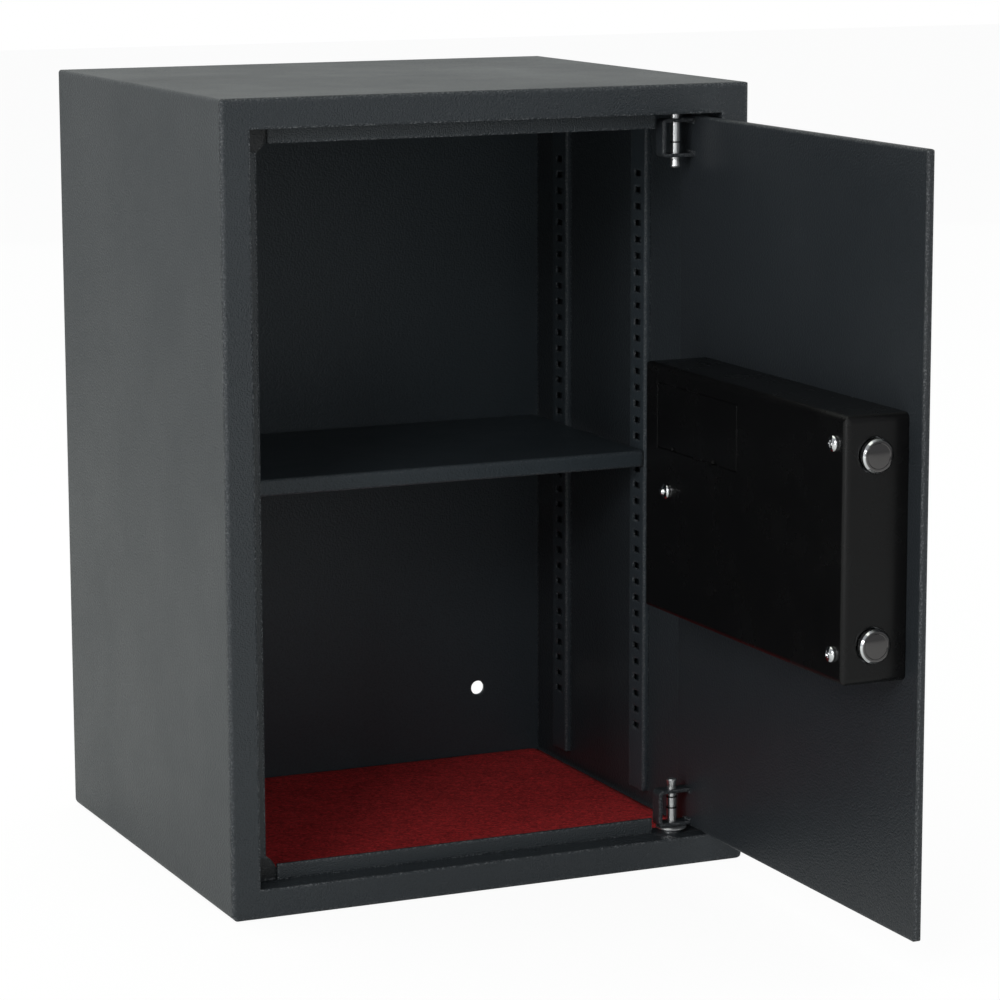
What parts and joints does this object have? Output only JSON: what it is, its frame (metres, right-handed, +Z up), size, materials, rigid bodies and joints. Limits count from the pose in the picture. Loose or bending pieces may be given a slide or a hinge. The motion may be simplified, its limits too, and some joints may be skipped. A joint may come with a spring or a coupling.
{
  "type": "safe deposit box",
  "caption": "Upright steel safe with a hinged plate door, coded lock, sliding bolts and a slotted interior that holds a removable shelf over a felt floor.",
  "frame": {"origin": "centre of the underside of the cabinet", "axes": "+X to the right seen from the front, +Y to the back panel, +Z up"},
  "size_m": [0.361, 0.5785, 0.5],
  "materials": {
    "powder_coat": "fine hammered powder coat, semi-matt",
    "carpet": "short needle-felt pile",
    "zinc_steel": "bright zinc plate",
    "chrome": "polished",
    "spring_steel": "blackened spring steel",
    "case_plastic": "satin moulded black",
    "cell_jacket": "plain printed jacket, no marks",
    "circuit_board": "solder mask",
    "keypad_plastic": "fine satin grain",
    "lens_green": "clear tinted",
    "knob_satin": "satin turned",
    "key_plastic": "satin grey"
  },
  "bodies": {
    "cabinet": {"cabinet_wrapper": "powder_coat", "front_frame": "powder_coat", "stop_lips": "powder_coat", "corner_gussets": "powder_coat", "hinge_tongues": "powder_coat", "back_panel": "powder_coat", "floor_carpet": "carpet", "left_front_strip": "powder_coat", "left_rear_strip": "powder_coat", "right_front_strip": "powder_coat", "right_rear_strip": "powder_coat", "shelf_clips": "zinc_steel", "hinge_washer": "chrome"},
    "shelf": {"shelf": "powder_coat"},
    "door": {"door_plate": "powder_coat", "top_hinge_bracket": "powder_coat", "bottom_hinge_bracket": "powder_coat", "top_hinge_pin": "chrome", "bottom_hinge_pin": "chrome", "pin_rings": "spring_steel", "lock_case": "case_plastic", "case_post": "zinc_steel", "case_screws": "chrome", "bolt_channel": "zinc_steel", "guide_post": "zinc_steel", "battery_tray": "case_plastic", "battery_contacts": "zinc_steel", "batteries": "cell_jacket", "solenoid": "zinc_steel", "control_board": "circuit_board", "keypad_housing": "keypad_plastic", "housing_screws": "zinc_steel", "keypad_board": "circuit_board", "status_lenses": "lens_green", "emergency_barrel": "chrome", "emergency_nut": "zinc_steel"},
    "bolts": {"upper_bolt": "chrome", "lower_bolt": "chrome", "bolt_carriage": "zinc_steel", "bolt_rivets": "zinc_steel"},
    "knob": {"turn_knob": "knob_satin", "knob_shaft": "zinc_steel"},
    "battery_cover": {"battery_cover": "case_plastic"},
    "emergency_cap": {"emergency_cap": "keypad_plastic"},
    "emergency_plug": {"emergency_plug": "chrome"},
    "plunger": {"solenoid_plunger": "chrome"},
    "key_1": {"key_1": "key_plastic"},
    "key_2": {"key_2": "key_plastic"},
    "key_3": {"key_3": "key_plastic"},
    "key_4": {"key_4": "key_plastic"},
    "key_5": {"key_5": "key_plastic"},
    "key_6": {"key_6": "key_plastic"},
    "key_7": {"key_7": "key_plastic"},
    "key_8": {"key_8": "key_plastic"},
    "key_9": {"key_9": "key_plastic"},
    "key_clear": {"key_clear": "key_plastic"},
    "key_0": {"key_0": "key_plastic"},
    "key_enter": {"key_enter": "key_plastic"}
  },
  "joints": [
    {"name": "door_swing", "type": "hinge", "parent": "cabinet", "child": "door", "pos_m": [0.1335, -0.136, 0.25], "axis": [0, 0, 1], "range_deg": [-90, 15]},
    {"name": "bolt_slide", "type": "slide", "parent": "door", "child": "bolts", "axis": [0, -1, 0], "range_m": [0, 0.02]},
    {"name": "knob_turn", "type": "hinge", "parent": "door", "child": "knob", "pos_m": [0.1655, -0.2275, 0.251], "axis": [-1, 0, 0], "range_deg": [0, 90]},
    {"name": "battery_cover_off", "type": "slide", "parent": "door", "child": "battery_cover", "axis": [-1, 0, 0], "range_m": [0, 0.015]},
    {"name": "emergency_cap_off", "type": "slide", "parent": "door", "child": "emergency_cap", "axis": [1, 0, 0], "range_m": [0, 0.012]},
    {"name": "emergency_key_turn", "type": "hinge", "parent": "door", "child": "emergency_plug", "pos_m": [0.1655, -0.2735, 0.251], "axis": [1, 0, 0], "range_deg": [0, 90]},
    {"name": "plunger_lift", "type": "slide", "parent": "door", "child": "plunger", "axis": [0, 0, 1], "range_m": [0, 0.003], "stiffness_N_per_m": 60},
    {"name": "shelf_lift", "type": "slide", "parent": "cabinet", "child": "shelf", "axis": [0, 0, 1], "range_m": [0, 0.12]},
    {"name": "touch_key_1", "type": "slide", "parent": "door", "child": "key_1", "axis": [-1, 0, 0], "range_m": [0, 0.0012], "stiffness_N_per_m": 400},
    {"name": "touch_key_2", "type": "slide", "parent": "door", "child": "key_2", "axis": [-1, 0, 0], "range_m": [0, 0.0012], "stiffness_N_per_m": 400},
    {"name": "touch_key_3", "type": "slide", "parent": "door", "child": "key_3", "axis": [-1, 0, 0], "range_m": [0, 0.0012], "stiffness_N_per_m": 400},
    {"name": "touch_key_4", "type": "slide", "parent": "door", "child": "key_4", "axis": [-1, 0, 0], "range_m": [0, 0.0012], "stiffness_N_per_m": 400},
    {"name": "touch_key_5", "type": "slide", "parent": "door", "child": "key_5", "axis": [-1, 0, 0], "range_m": [0, 0.0012], "stiffness_N_per_m": 400},
    {"name": "touch_key_6", "type": "slide", "parent": "door", "child": "key_6", "axis": [-1, 0, 0], "range_m": [0, 0.0012], "stiffness_N_per_m": 400},
    {"name": "touch_key_7", "type": "slide", "parent": "door", "child": "key_7", "axis": [-1, 0, 0], "range_m": [0, 0.0012], "stiffness_N_per_m": 400},
    {"name": "touch_key_8", "type": "slide", "parent": "door", "child": "key_8", "axis": [-1, 0, 0], "range_m": [0, 0.0012], "stiffness_N_per_m": 400},
    {"name": "touch_key_9", "type": "slide", "parent": "door", "child": "key_9", "axis": [-1, 0, 0], "range_m": [0, 0.0012], "stiffness_N_per_m": 400},
    {"name": "touch_key_clear", "type": "slide", "parent": "door", "child": "key_clear", "axis": [-1, 0, 0], "range_m": [0, 0.0012], "stiffness_N_per_m": 400},
    {"name": "touch_key_0", "type": "slide", "parent": "door", "child": "key_0", "axis": [-1, 0, 0], "range_m": [0, 0.0012], "stiffness_N_per_m": 400},
    {"name": "touch_key_enter", "type": "slide", "parent": "door", "child": "key_enter", "axis": [-1, 0, 0], "range_m": [0, 0.0012], "stiffness_N_per_m": 400}
  ],
  "couplings": [
    {"joint": "knob_turn", "follows": "bolt_slide", "rad_per_m": 78.5}
  ]
}
